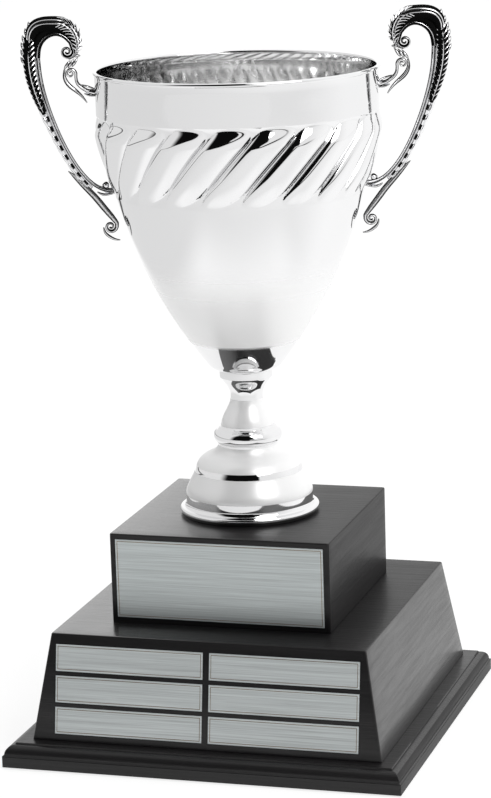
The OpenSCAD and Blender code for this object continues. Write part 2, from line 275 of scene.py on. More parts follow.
WOOD = [black_wood("black_wood_x", 0), black_wood("black_wood_y", 1, (0.8, 0.3))]
WOOD_BLOCK = [
    black_wood("black_wood_block_x", 0, (0.35, 0.1)),
    black_wood("black_wood_block_y", 1, (0.16, 0.05), shine=0.08),
]
WOOD_TOP = black_wood("black_wood_top", 0, (1.0, 0.85), 0.07, 2.4)
SILVER = silver("silver_plate")
SILVER_BOWL = silver_bowl("silver_bowl")
SILVER_INSIDE = silver("silver_inside", (0.04, 0.12), (0.82, 0.82, 0.82))
SILVER_SATIN = silver("silver_satin", (0.26, 0.34), (0.93, 0.93, 0.93), 0.22)
CAST = cast_silver("cast_silver")
PLATE = brushed_metal("brushed_plate", (0.56, 0.60, 0.60), 0, (0.38, 0.5), 0.75)
SMALL_PLATE = brushed_metal("brushed_small_plate", (0.66, 0.70, 0.70), 0, (0.38, 0.5), 0.75)
GOLD_LINE = brushed_metal("plate_line", (0.20, 0.13, 0.07), 0, (0.3, 0.4))
PAD = moulded_black("pad_plastic", (0.010, 0.010, 0.010), 0.18)
ZINC = brushed_metal("zinc_plate", (0.58, 0.59, 0.62), 2, (0.25, 0.4))
RUBBER = moulded_black("gasket_rubber", (0.02, 0.02, 0.02), 0.6)
FELT = felt("felt")
PINE = bare_wood("bare_wood")


# ---------------------------------------------------------------- mesh helpers, in millimetres
def bezier(points, count):
    """count + 1 points along a cubic Bezier curve."""
    c = np.array(points, float)
    t = np.linspace(0, 1, count + 1)[:, None]
    return (1 - t) ** 3 * c[0] + 3 * (1 - t) ** 2 * t * c[1] + 3 * (1 - t) * t ** 2 * c[2] + t ** 3 * c[3]


def grid_faces(rows, columns, wrap_rows=False, wrap_columns=False):
    """Quads between neighbouring rows and columns of a grid of vertices."""
    row = np.arange(rows if wrap_rows else rows - 1)
    column = np.arange(columns if wrap_columns else columns - 1)
    a, b = np.meshgrid(row, column, indexing="ij")
    c, d = (a + 1) % rows, (b + 1) % columns
    quads = np.stack([a * columns + b, a * columns + d, c * columns + d, c * columns + b], -1)
    return quads.reshape(-1, 4).tolist()


def piece(name, vertices, faces, material, nodes=(), sharp=35, values=None):
    """A new piece of the object from vertices in millimetres; values sets each vertex's darkness, partly
    oxide and mostly painted shade.
    """
    mesh = bpy.data.meshes.new(name)
    mesh.from_pydata((np.asarray(vertices) * MM).tolist(), [], faces)
    mesh.validate()
    mesh.shade_smooth()
    mesh.set_sharp_from_angle(angle=math.radians(sharp))
    materials = material if isinstance(material, list) else [material]
    for each in materials:
        mesh.materials.append(each)
    if values is not None:
        hollow = mesh.attributes.new("hollow", "FLOAT", "POINT")
        hollow.data.foreach_set("value", np.asarray(values, np.float32))
    made = bpy.data.objects.new(name, mesh)
    bpy.context.scene.collection.objects.link(made)
    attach(made, "root")
    if nodes:
        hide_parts(*nodes)
    return made


def joined(parts):
    """Vertices and faces of several (vertices, faces) parts as one."""
    vertices, faces, start = [], [], 0
    for v, f in parts:
        vertices.append(np.asarray(v, float))
        faces += [[i + start for i in face] for face in f]
        start += len(v)
    return np.concatenate(vertices), faces


def turned(profile, segments=SILVER_SEGMENTS, closed=True):
    """A body of revolution from a profile of (radius, height)."""
    angle = np.linspace(0, 2 * math.pi, segments, endpoint=False)
    r, z = np.array(profile, float).T
    x = r[:, None] * np.cos(angle)
    y = r[:, None] * np.sin(angle)
    vertices = np.stack([x, y, np.broadcast_to(z[:, None], x.shape)], -1).reshape(-1, 3)
    return vertices, grid_faces(len(profile), segments, closed, True)


def rounded(points, radius, steps=4):
    """A closed profile with each corner rounded; radius is one number or one for each corner."""
    points = np.array(points, float)
    radii = np.broadcast_to(radius, len(points))
    made = []
    for i, p in enumerate(points):
        to_last = points[i - 1] - p
        to_next = points[(i + 1) % len(points)] - p
        reach = min(radii[i], 0.45 * np.linalg.norm(to_last), 0.45 * np.linalg.norm(to_next))
        if reach < 1e-6:
            made.append(p)
            continue
        a = p + to_last / np.linalg.norm(to_last) * reach
        b = p + to_next / np.linalg.norm(to_next) * reach
        for t in np.linspace(0, 1, steps + 1):
            made.append((1 - t) ** 2 * a + 2 * (1 - t) * t * p + t ** 2 * b)
    return np.array(made)


# ---------------------------------------------------------------- wooden base
CORNER_R = 1.3
CORNER_STEPS = 5
SHARP_R = 0.05
ROUND_DEPTH = 14.0
UPWARD = 0.7  # a face whose normal rises by more than this looks up


def side_path(half, radius):
    """Plan of one side of a square, from one mitre to the next, facing -Y."""
    inner = half - radius
    left = np.radians(np.linspace(225, 270, CORNER_STEPS))
    right = np.radians(np.linspace(270, 315, CORNER_STEPS))
    made = [(-inner + radius * math.cos(a), -inner + radius * math.sin(a)) for a in left]
    made += [(x * inner, -half) for x in np.linspace(-0.9, 0.9, 7)]
    made += [(inner + radius * math.cos(a), -inner + radius * math.sin(a)) for a in right]
    return np.array(made)


def mitred(profile, side, corner=CORNER_R):
    """One mitred side of a square frame; profile is a closed loop of (half width, height).

    The frame's corners are rounded down to ROUND_DEPTH inside its outermost edge, and sharpen beyond."""
    sharpening = np.maximum(profile[:, 0].max() - profile[:, 0] - ROUND_DEPTH, 0)
    radii = np.maximum(corner - sharpening, SHARP_R)
    rows = [side_path(half, radius) for half, radius in zip(profile[:, 0], radii)]
    vertices = np.array([[x, y, z] for row, (_, z) in zip(rows, profile) for x, y in row])
    columns = len(rows[0])
    faces = grid_faces(len(rows), columns, True, False)
    faces.append([i * columns for i in range(len(rows))])
    faces.append([i * columns + columns - 1 for i in reversed(range(len(rows)))])
    turn = Matrix.Rotation(side * math.pi / 2, 3, "Z")
    return vertices @ np.array(turn).T, faces


SIDES = ["front", "right", "back", "left"]
TIER_LEAN = math.atan2(TIER_FOOT_HALF - TIER_TOP_HALF, DECK_Z - BOARD_HIGH[2])


def make_panels():
    """The four panels of the lower tier and of the upper block; their upper edges match the tops."""
    slope_t = PANEL_T / math.cos(TIER_LEAN)
    tier = [(TIER_FOOT_HALF - slope_t, BOARD_HIGH[2]), (TIER_FOOT_HALF, BOARD_HIGH[2]),
            (TIER_TOP_HALF, DECK_Z), (TIER_TOP_HALF - slope_t, DECK_Z)]
    inner_half = BLOCK_HALF - PANEL_T
    block = [(inner_half, DECK_Z), (BLOCK_HALF, DECK_Z), (BLOCK_HALF, TOP_Z), (inner_half, TOP_Z)]
    for number, side in enumerate(SIDES):
        for word, outline in (("lower", tier), ("upper", block)):
            profile = rounded(outline, [0, 0.5, 1.1, 0], 4)
            vertices, faces = mitred(profile, number)
            node = f"{word}_{side}_panel"
            wood = WOOD if word == "lower" else WOOD_BLOCK
            woods = [wood[number % 2], WOOD_TOP]
            made = piece(f"{node}_wood", vertices, faces, woods, [node])
            for face in made.data.polygons:
                face.material_index = int(face.normal.z > UPWARD)


def make_board():
    """The bottom board: an upright edge, a small step and a quarter-round moulding."""
    half, low, high = BOARD_HIGH[0], BOARD_LOW[2], BOARD_HIGH[2]
    round_r, round_x, round_z = 6.8, half - 8.1, low + 9.4
    quarter = np.radians(np.linspace(0, 90, 10))
    ovolo = [(round_x + round_r * math.cos(a), round_z + round_r * math.sin(a)) for a in quarter]
    edge = rounded([(half, low), (half, low + 9)], [0.4, 0.8], 3).tolist()
    outline = [(0.5, low), (half - 1.2, low)] + edge + [(half - 1.3, low + 9.1)] + ovolo
    outline += [(half - 8.2, high - 0.6), (half - 8.8, high), (0.5, high)]
    sides = [mitred(np.array(outline), number, 0.4) for number in range(4)]
    vertices, faces = joined([(v, f[:-2]) for v, f in sides])
    woods = [WOOD[0], WOOD_BLOCK[1]]
    made = piece("bottom_board_wood", vertices, faces, woods, ["bottom_board"])
    for face in made.data.polygons:
        face.material_index = int(abs(face.normal.x) > max(abs(face.normal.y), face.normal.z))


make_panels()
make_board()


# ---------------------------------------------------------------- carried-over CAD pieces
def dress(material, *nodes):
    """Give CAD nodes that keep their own mesh a material."""
    for node in nodes:
        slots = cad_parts[node].data.materials
        slots.clear()
        slots.append(material)


dress(WOOD_TOP, "lower_deck", "upper_top_panel")
dress(PINE, "lower_corner_blocks", "upper_corner_blocks")
dress(ZINC, "board_screws", "tier_screws", "handle_screws", "handle_washers", "threaded_rod")
dress(ZINC, "bowl_washer", "bowl_nut", "base_washer", "base_nut")
dress(RUBBER, "bowl_gasket")
dress(FELT, "felt_pad")


# ---------------------------------------------------------------- engraving plates
PLATE_T = 0.8
PLATE_EDGE = 0.15
LINE_INSET, LINE_WIDTH = 1.2, 0.5
LINE_DEPTH, LINE_SLOPE = 0.06, 0.08
LINE_FACES = range(16, 20)


def plate(name, low, high, lean, foot, metal):
    """A plate with softened edges and a sunk coloured border line; lean tilts it about the foot line."""
    def ring(inset, depth):
        left, right = low[0] + inset, high[0] - inset
        bottom, top = low[1] + inset, high[1] - inset
        return [(left, -depth, bottom), (right, -depth, bottom), (right, -depth, top), (left, -depth, top)]

    line_end = LINE_INSET + LINE_WIDTH
    levels = [(0, 0.0), (0, PLATE_T - PLATE_EDGE), (PLATE_EDGE, PLATE_T), (LINE_INSET, PLATE_T),
              (LINE_INSET + LINE_SLOPE, PLATE_T - LINE_DEPTH), (line_end, PLATE_T - LINE_DEPTH),
              (line_end + LINE_SLOPE, PLATE_T)]
    vertices = np.array([p for inset, depth in levels for p in ring(inset, depth)])
    faces = grid_faces(len(levels), 4, False, True)
    count = len(vertices)
    faces.append([count - 4, count - 3, count - 2, count - 1])
    faces.append([3, 2, 1, 0])
    c, s = math.cos(lean), math.sin(lean)
    y, z = vertices[:, 1].copy(), vertices[:, 2].copy()
    vertices[:, 1] = foot[0] + y * c + z * s
    vertices[:, 2] = foot[1] - y * s + z * c
    made = piece(name + "_metal", vertices, faces, [metal, GOLD_LINE], [name], 20)
    for face in LINE_FACES:
        made.data.polygons[face].material_index = 1


SMALL_PLATE_H = 20.0
SMALL_PLATE_PITCH = 23.5
LOW_PLATE_MIDDLE = 15.5


def make_plates():
    """The large plate on the block, and three rows of two small ones on the leaning tier."""
    low, high = cad("main_plate")
    plate("main_plate", (low[0], low[2]), (high[0], high[2]), 0.0, (high[1], 0.0), PLATE)
    foot = (-TIER_FOOT_HALF, BOARD_HIGH[2])
    for number in range(6):
        low, high = cad(f"small_plate_{number + 1}")
        middle = LOW_PLATE_MIDDLE + (2 - number // 2) * SMALL_PLATE_PITCH
        corners = (low[0], middle - SMALL_PLATE_H / 2), (high[0], middle + SMALL_PLATE_H / 2)
        plate(f"small_plate_{number + 1}", *corners, TIER_LEAN, foot, SMALL_PLATE)


make_plates()


# ---------------------------------------------------------------- turned silver pieces
def at_cup(vertices):
    """From the cup's own frame (height over the base, right handle along +X) to the part's frame."""
    turn = np.array(Matrix.Rotation(CUP_TURN, 3, "Z"))
    return vertices @ turn.T + np.array([0, 0, TOP_Z])


def turned_piece(name, node, profile, material, sharp=40):
    """A turned piece of the cup that stands in for a CAD node."""
    vertices, faces = turned(profile)
    return piece(name, at_cup(vertices), faces, material, [node], sharp)


ROD_HOLE = 4.3
CREASE_LOW, CREASE_HIGH = 31.5, 35.5


def make_foot():
    """Pad, bell, knop, stem and seat; the bell's side is satin but for the crease between its waves."""
    pad = rounded([(ROD_HOLE, 0), (51.5, 0), (51.5, 2.5), (ROD_HOLE, 2.5)], [0, 0.5, 0.3, 0])
    turned_piece("foot_pad_moulding", "foot_pad", pad, PAD)
    lower = bezier([(48.2, 15), (48.6, 19.9), (45.5, 23), (41, 32.7)], 20)
    upper = bezier([(40.8, 33.9), (36.5, 48.5), (25.5, 43.5), (22.5, 52.5)], 26)
    flange = [(51, 2.5), (53, 2.5), (53, 5.2), (49.2, 6.4), (48.2, 8.5), (48.3, 12)]
    flange = rounded(flange, [0, 0.9, 1.6, 1.0, 1.0, 0], 6)
    outer = np.concatenate([flange, lower, upper])
    inner = [(max(r - WALL, ROD_HOLE), max(z - WALL, 2.5)) for r, z in outer[::-3]]
    profile = np.concatenate([outer, [(ROD_HOLE, 52.5), (ROD_HOLE, 50.1)], inner])
    bell = turned_piece("foot_bell_silver", "foot_bell", profile, [SILVER, SILVER_SATIN], 30)
    outer_z = np.where(np.arange(len(profile)) < len(outer), profile[:, 1], 0)
    satin = np.zeros(len(profile), np.int32)
    satin[len(flange):len(outer) - 1] = 1
    satin[(outer_z > CREASE_LOW) & (outer_z < CREASE_HIGH)] = 0
    bell.data.polygons.foreach_set("material_index", np.repeat(satin, SILVER_SEGMENTS))
    bead = bezier([(22.5, 54), (27.2, 55.5), (27.2, 63.5), (22.5, 65)], 22)
    under, over = [(ROD_HOLE, 52.5), (22.5, 52.5)], [(20.9, 66.5), (20.9, 68), (ROD_HOLE, 68)]
    knop = np.concatenate([under, bead, over])
    turned_piece("knop_ring_silver", "knop_ring", knop, SILVER, 30)
    side = bezier([(20.1, 68), (18.6, 77), (13.2, 81), (12.4, 88)], 24)
    profile = np.concatenate([[(ROD_HOLE, 68)], side, [(ROD_HOLE, 88)]])
    turned_piece("stem_silver", "stem", profile, SILVER_SATIN, 30)
    side = bezier([(12.4, 88), (11.8, 97), (17, 99.5), (19.5, 104.8)], 24)
    collar = rounded([(19.5, 104.8), (20.2, 104.8), (20.2, 110.7), (19, 110.7)], [0, 0.4, 0.4, 0])
    profile = np.concatenate([[(ROD_HOLE, 88)], side, collar, [(ROD_HOLE, 110.7)]])
    turned_piece("bowl_seat_silver", "bowl_seat", profile, SILVER, 30)


make_foot()

# ---------------------------------------------------------------- bowl
MOUTH_R = 105.6
RIM_Z = 339.3
BEAD_R = 1.6
FLUTES = 20
FLUTE_STEPS = 28
BAND_LOW, BAND_HIGH = 246.0, 307.0
BAND_MIDDLE = 280.0
TWIST = math.radians(0.5)  # turn of the flutes for each millimetre up
FLUTE_START = math.radians(13.8)
LOBE_HEIGHT = 2.5  # of a flute over the plain wall
GROOVE_DEPTH = 3.6  # of the groove between flutes, under the plain wall
CREST_SHIFT = 0.75  # under 1, a flute's crest is nearer its left edge
TOP_ROUND, BOTTOM_ROUND = 19.0, 26.0  # length over which a flute's ends run out
FULLNESS = 0.7  # the smaller, the steeper a flute's sides


def relief(across, z):
    """Height of the flutes over the bowl's plain wall; across runs from 0 to 1 over one flute."""
    off_middle = 2 * across ** CREST_SHIFT - 1
    past_top = np.clip((z - BAND_HIGH) / TOP_ROUND + 1, 0, 1)
    past_bottom = np.clip((BAND_LOW - z) / BOTTOM_ROUND + 1, 0, 1)
    lobe = np.maximum(1 - off_middle ** 2 - past_top ** 4 - past_bottom ** 3, 0) ** FULLNESS
    groove = GROOVE_DEPTH * (1 - past_top ** 4) * (1 - past_bottom ** 2)
    proud = LOBE_HEIGHT * (1 - past_top ** 2) * (1 - past_bottom ** 4)
    return (groove + proud) * lobe - groove


def bowl_line(fine):
    """The wall's outer line from the collar to under the bead, as (radius, height); fine is its step
    over the fluted band."""
    foot = bezier([(20.2, 110.7), (24.5, 110.8), (27.8, 114), (29.6, 116.8)], 10)
    side = bezier([(29.6, 116.8), (81.7, 185), (93, 244), (104.8, 292)], 600)
    lip = bezier([(104.8, 292), (105.6, 297), (105.2, 322), (105.6, 337)], 200)
    dense = np.concatenate([side, lip[1:]])
    ranges = (117.5, 243, 3.0), (244, 309, fine), (310, 336.5, 3.0)
    heights = np.concatenate([np.arange(*each) for each in ranges])
    return np.concatenate([foot, np.stack([np.interp(heights, dense[:, 1], dense[:, 0]), heights], -1)])


def make_bowl():
    """The wall as one closed skin: fluted outside, plain inside, with a rolled rim."""
    step = 0.5 - 0.5 * np.cos(np.pi * np.arange(FLUTE_STEPS) / FLUTE_STEPS)
    across = np.tile(step, FLUTES)
    angle = FLUTE_START + (np.repeat(np.arange(FLUTES), FLUTE_STEPS) + across) * 2 * math.pi / FLUTES
    outer = bowl_line(0.6)
    inner = bowl_line(1.2)
    slope = np.gradient(inner, axis=0)
    inner = inner + WALL * np.stack([-slope[:, 1], slope[:, 0]], -1) / np.linalg.norm(slope, axis=1)[:, None]
    centre = (MOUTH_R - WALL / 2, RIM_Z - BEAD_R)
    roll = [(centre[0] + BEAD_R * math.cos(a), centre[1] + BEAD_R * math.sin(a))
            for a in np.radians(np.linspace(-60, 230, 20))]
    profile = np.concatenate([[(ROD_HOLE, 110.7)], outer, roll, inner[::-1], [(ROD_HOLE, 110.7 + WALL)]])
    r, z = profile[:, 0][:, None], profile[:, 1][:, None]
    around = angle[None, :] + TWIST * (np.clip(z, BAND_LOW, BAND_HIGH) - BAND_MIDDLE)
    radius = r + relief(across[None, :], z)
    height = np.broadcast_to(z, radius.shape)
    vertices = np.stack([radius * np.cos(around), radius * np.sin(around), height], -1).reshape(-1, 3)
    columns = len(angle)
    faces = grid_faces(len(profile), columns, True, True)
    silvers = [SILVER_BOWL, SILVER_INSIDE]
    made = piece("cup_bowl_silver", at_cup(vertices), faces, silvers, ["cup_bowl"], 30)
    first_inner = 1 + len(outer) + len(roll)
    index = np.repeat((np.arange(len(profile)) >= first_inner).astype(np.int32), columns)
    made.data.polygons.foreach_set("material_index", index)


make_bowl()


# ---------------------------------------------------------------- handles
# Each handle is made in its own plane: distance from the cup's axis, height over the base, and
# depth to either side of that plane. Rows of numbers are (distance, height, width, depth).
def spline(rows, count):
    """A natural cubic spline through rows of numbers, spaced evenly along the first two."""
    p = np.array(rows, float)
    t = np.concatenate([[0], np.cumsum(np.linalg.norm(np.diff(p[:, :2], axis=0), axis=1))])
    h = np.diff(t)
    matrix = np.eye(len(t))
    right = np.zeros_like(p)
    for i in range(1, len(t) - 1):
        matrix[i, i - 1:i + 2] = h[i - 1], 2 * (h[i - 1] + h[i]), h[i]
        right[i] = 6 * ((p[i + 1] - p[i]) / h[i] - (p[i] - p[i - 1]) / h[i - 1])
    bend = np.linalg.solve(matrix, right)
    x = np.linspace(0, t[-1], count)
    i = np.clip(np.searchsorted(t, x) - 1, 0, len(t) - 2)
    a, b = ((t[i + 1] - x) / h[i])[:, None], ((x - t[i]) / h[i])[:, None]
    bowed = (a ** 3 - a) * bend[i] + (b ** 3 - b) * bend[i + 1]
    return a * p[i] + b * p[i + 1] + bowed * h[i][:, None] ** 2 / 6


def volute(centre, start, end, turns, sense, count=70):
    """Rows of a spiral that starts on the cup's side of its centre; start and end are
    (radius, width, depth)."""
    share = np.linspace(0, 1, count)
    radius, width, depth = [a + (b - a) * share ** 0.8 for a, b in zip(start, end)]
    angle = sense * share * turns * 2 * math.pi
    out, up = centre[0] - radius * np.cos(angle), centre[1] - radius * np.sin(angle)
    return np.stack([out, up, width, depth], -1)


class Strand:
    """A rounded bar along a curve in the handle's plane."""

    def __init__(self, rows, count=90, tail=None):
        self.line = spline(rows, count)
        if tail is not None:
            self.line = np.concatenate([self.line, tail])
        self.line[:, 2:] = np.maximum(self.line[:, 2:], 0.3)
        ahead = np.gradient(self.line[:, :2], axis=0)
        ahead /= np.linalg.norm(ahead, axis=1)[:, None]
        self.side = np.stack([ahead[:, 1], -ahead[:, 0]], -1)
        steps = np.linalg.norm(np.diff(self.line[:, :2], axis=0), axis=1)
        self.way = np.concatenate([[0], np.cumsum(steps)])

    def on(self, way, angle, lift=0.0):
        """Points on the surface: angle 0 is on the curve's right side, 90 degrees on the near face."""
        r, z, width, depth = [np.interp(way, self.way, self.line[:, i]) for i in range(4)]
        side = [np.interp(way, self.way, self.side[:, i]) for i in range(2)]
        out = (width / 2 + lift) * np.cos(angle)
        return np.stack([r + out * side[0], (depth / 2 + lift) * np.sin(angle), z + out * side[1]], -1)

    def mesh(self, sides=14, hollow=0.0, stripes=(), relief=0.0, beads=(0, 0), dashes=0):
        """The bar's mesh, painted dark all round by the darkness given first, as painted shade and painted
        dark reflection. Each stripe is (angle, half width, darkness), the same on both faces, and stands out
        by 'relief' where it is brighter than the rest; beads are (pitch, swelling)."""
        angle = np.linspace(0, 2 * math.pi, sides, endpoint=False)
        turn = np.degrees(np.minimum(angle, 2 * math.pi - angle))
        dark = np.full(sides, float(hollow))
        for at, half, darkness in stripes:
            dark = dark + (darkness - dark) * np.exp(-((turn - at) / half) ** 2)
        size = (1 + relief * (hollow - dark))[None, :]
        if beads[0]:
            size = size * (1 + beads[1] * np.abs(np.sin(np.pi * self.way / beads[0])))[:, None]
        r, z, width, depth = [self.line[:, i][:, None] for i in range(4)]
        out = width / 2 * np.cos(angle) * size
        deep = depth / 2 * np.sin(angle) * size
        vertices = np.stack([r + out * self.side[:, :1], deep, z + out * self.side[:, 1:]], -1)
        rows = len(self.line)
        faces = grid_faces(rows, sides, False, True)
        faces.append(list(range(sides))[::-1])
        faces.append(list(range((rows - 1) * sides, rows * sides)))
        dark = np.broadcast_to(dark, (rows, sides))
        if dashes:
            dark = dark * np.clip(2.4 * np.sin(2 * np.pi * self.way / dashes) + 1, 0, 1)[:, None]
        return vertices.reshape(-1, 3), faces, np.clip(dark, 0, 1).reshape(-1)


def ridge(points, half_width, half_height, sides=6):
    """A thin tapering ridge through points in space; it lies flat when the points lie on a surface."""
    ahead = np.gradient(points, axis=0)
    ahead /= np.linalg.norm(ahead, axis=1)[:, None]
    across = np.cross(ahead, points - points.mean(0) + np.array([0, 50.0, 0]))
    across /= np.linalg.norm(across, axis=1)[:, None]
    up = np.cross(across, ahead)
    taper = np.sqrt(np.sin(np.pi * np.linspace(0.04, 0.96, len(points))))[:, None, None]
    angle = np.linspace(0, 2 * math.pi, sides, endpoint=False)[None, :, None]
    ring = across[:, None] * np.cos(angle) * half_width + up[:, None] * np.sin(angle) * half_height
    vertices = (points[:, None] + ring * taper).reshape(-1, 3)
    faces = grid_faces(len(points), sides, False, True)
    faces.append(list(range(sides))[::-1])
    faces.append(list(range(len(vertices) - sides, len(vertices))))
    return vertices, faces, np.zeros(len(vertices))


def pod(centre, lean, half, dark=0.0, sides=16, rings=10):
    """A pod with a pointed end; lean is its long axis in the handle's plane, half its half sizes."""
    along = np.linspace(0.02, 0.98, rings)
    wide = np.sin(np.pi * along ** 0.75)[:, None] ** 0.8
    angle = np.linspace(0, 2 * math.pi, sides, endpoint=False)[None, :]
    axis = np.array([math.cos(lean), 0, math.sin(lean)])
    side = np.array([axis[2], 0, -axis[0]])
    vertices = (np.array([centre[0], 0, centre[1]]) + (2 * along - 1)[:, None, None] * half[0] * axis
                + (wide * np.cos(angle))[..., None] * half[1] * side
                + (wide * np.sin(angle))[..., None] * half[2] * np.array([0, 1, 0]))
    faces = grid_faces(rings, sides, False, True)
    faces.append(list(range(sides))[::-1])
    faces.append(list(range((rings - 1) * sides, rings * sides)))
    shade = np.clip(dark * np.broadcast_to(np.abs(np.cos(angle)) ** 1.2, (rings, sides)), 0, 1)
    return vertices.reshape(-1, 3), faces, shade.reshape(-1)


def leaf(body, way, angle, length, spread):
    """A dark leaf with a bright rib, growing back along the body's edge and out of it by 'spread' degrees."""
    base = body.on(np.array([way]), math.radians(angle), -1.0)[0]
    before, after = body.on(np.array([way - 0.5, way + 0.5]), math.radians(90))
    ahead = after - before
    outward = spread if angle > 90 else -spread
    lean = math.atan2(-ahead[2], -ahead[0]) - math.radians(outward)
    centre = (base[0] + length / 2 * math.cos(lean), base[2] + length / 2 * math.sin(lean))
    return pod(centre, lean, (length / 2, 1.25, 2.4), 1.6)


def both_faces(parts):
    """The parts together with their mirror images on the handle's other face."""
    flipped = [(v * [1, -1, 1], [face[::-1] for face in f], dark) for v, f, dark in parts]
    return parts + flipped


# The top curl's back (crest), the web under it (a black bar that stands in for painted shade) and
# its inner bar (arch); the leafy spray down its outside; the long inner bar, the beaded outer bar and
# the core between them; the lower bar and its curl; the arm and the S-shaped scroll at the lip, with
# two thin leaves; the leaf at the low end.
CREST = [(150.9, 358, 5, 8), (151.0, 366.5, 8.5, 11), (147, 372.6, 10.5, 13), (140.5, 374.7, 11.0, 14),
         (133.5, 374.7, 11.2, 14), (127, 373.6, 11, 13), (121.3, 369, 9.2, 11.5), (118.2, 362.5, 7.2, 10),
         (117.9, 356.5, 5.2, 8), (119.6, 351.6, 3.6, 6), (124, 349.0, 2.4, 4)]
WEB = [(147.6, 348, 3, 5), (147.6, 357, 5, 7), (145.3, 364.5, 5.5, 8), (139.5, 369.3, 5.5, 8),
       (132.5, 370.6, 5.5, 8), (125.5, 368.6, 5, 8), (120.8, 363.6, 4, 7), (119.2, 357, 3, 6)]
SPRAY = [(150.9, 371.5, 2.5, 5), (152.2, 363, 8.2, 9.5), (152.9, 350, 9.6, 11), (152.0, 338, 9.3, 11),
         (149.4, 326, 8.2, 10), (146.4, 316.5, 6.8, 8.5), (143.4, 308, 4.5, 6.5)]
INNER = [(93.6, 249.2, 4.4, 6), (99, 249.8, 3.8, 5.5), (104.4, 251.6, 3.2, 5), (108.6, 254.2, 3.0, 5),
         (115.6, 261.2, 2.8, 5), (126.4, 278.2, 2.7, 5.5), (134.6, 296.7, 2.8, 6), (141.4, 317.4, 3.0, 7),
         (145.5, 338.1, 3.3, 8), (146.3, 350.0, 3.4, 8)]
ARCH = [(146.3, 350.0, 3.4, 8), (144.3, 359.5, 3.4, 8), (138.6, 365.6, 3.4, 8), (132.4, 367.3, 3.4, 8),
        (126.6, 365.4, 3.3, 8), (121.9, 360.6, 3.1, 8)]
OUTER = [(147.2, 313.5, 1.5, 3), (145.4, 309.0, 2.4, 4), (141.0, 298.6, 2.6, 4.6), (137.0, 289.6, 2.5, 4.6),
         (132.4, 280.0, 2.4, 4.4), (127.0, 270.4, 2.3, 4.2), (121.0, 261.4, 2.2, 4), (113.5, 252.6, 1.8, 3.4)]
CORE = [(143.5, 314, 3.5, 5), (138.4, 298.0, 4.2, 5), (130.2, 279.6, 4.0, 4.8), (119.6, 262.4, 3.6, 4.6),
        (110.5, 251.6, 2.6, 4)]
LOWER = [(127.6, 264.8, 0.5, 1), (124.4, 262.0, 2.2, 3), (117.6, 254.8, 4.0, 5), (108.8, 245.2, 4.7, 6),
         (101.4, 235.7, 4.7, 6), (95.8, 228.6, 4.0, 6), (93.0, 224.8, 3.2, 6)]
LOWER_CURL = [(102.9, 221.5, 1.0, 2.4), (101.9, 217.8, 1.9, 3.4), (98.9, 214.7, 2.2, 3.6),
              (94.9, 212.5, 1.7, 3), (90.8, 211.7, 0.8, 1.6)]
ARM = [(104.9, 322.8, 4.4, 6), (109.2, 323.8, 3.2, 5), (114.4, 326.6, 2.7, 4.6), (118.2, 330.8, 2.4, 4.6),
       (118.9, 334.6, 2.2, 4.6)]
SCROLL = [(127.1, 340.6, 1.4, 3.4), (127.3, 334.8, 2.6, 4.6), (124.8, 329.6, 3.2, 5),
          (119.8, 325.0, 2.8, 4.4), (114.6, 320.0, 1.7, 3.2), (111.4, 315.6, 0.8, 1.8)]
ARM_TOP = [(118.6, 328.9, 0.8, 2), (113.6, 328.4, 1.3, 3), (108.6, 326.9, 1.3, 3), (104.9, 325.2, 1.2, 2.6)]
ARM_LOW = [(113.2, 322.4, 0.8, 2), (109.4, 320.9, 1.3, 3), (104.9, 320.7, 1.2, 2.6)]
LEAF_LOW = [(106.5, 248.6, 0.8, 2), (102.6, 246.6, 1.9, 3.6), (98.0, 246.6, 1.6, 3), (92.8, 247.6, 1.0, 3)]
BARB_PITCH = 3.9


def barbs(body, ways, middle, lengths, angles, half_width=0.52, spread=0.0):
    """Rows of ridges on the near face, from a middle line out to each of the angles; they point back
    along the curve, and spread lifts their tips off it."""
    made = []
    share = np.linspace(0, 1, 7)
    for way, length, flare in zip(ways, lengths, np.broadcast_to(spread, len(ways))):
        for edge in angles:
            bend = middle + (edge - middle) * share ** 0.85
            points = body.on(way - length * share, np.radians(bend), 0.15 + flare * share ** 3)
            made.append(ridge(points, half_width, 0.75))
    return made


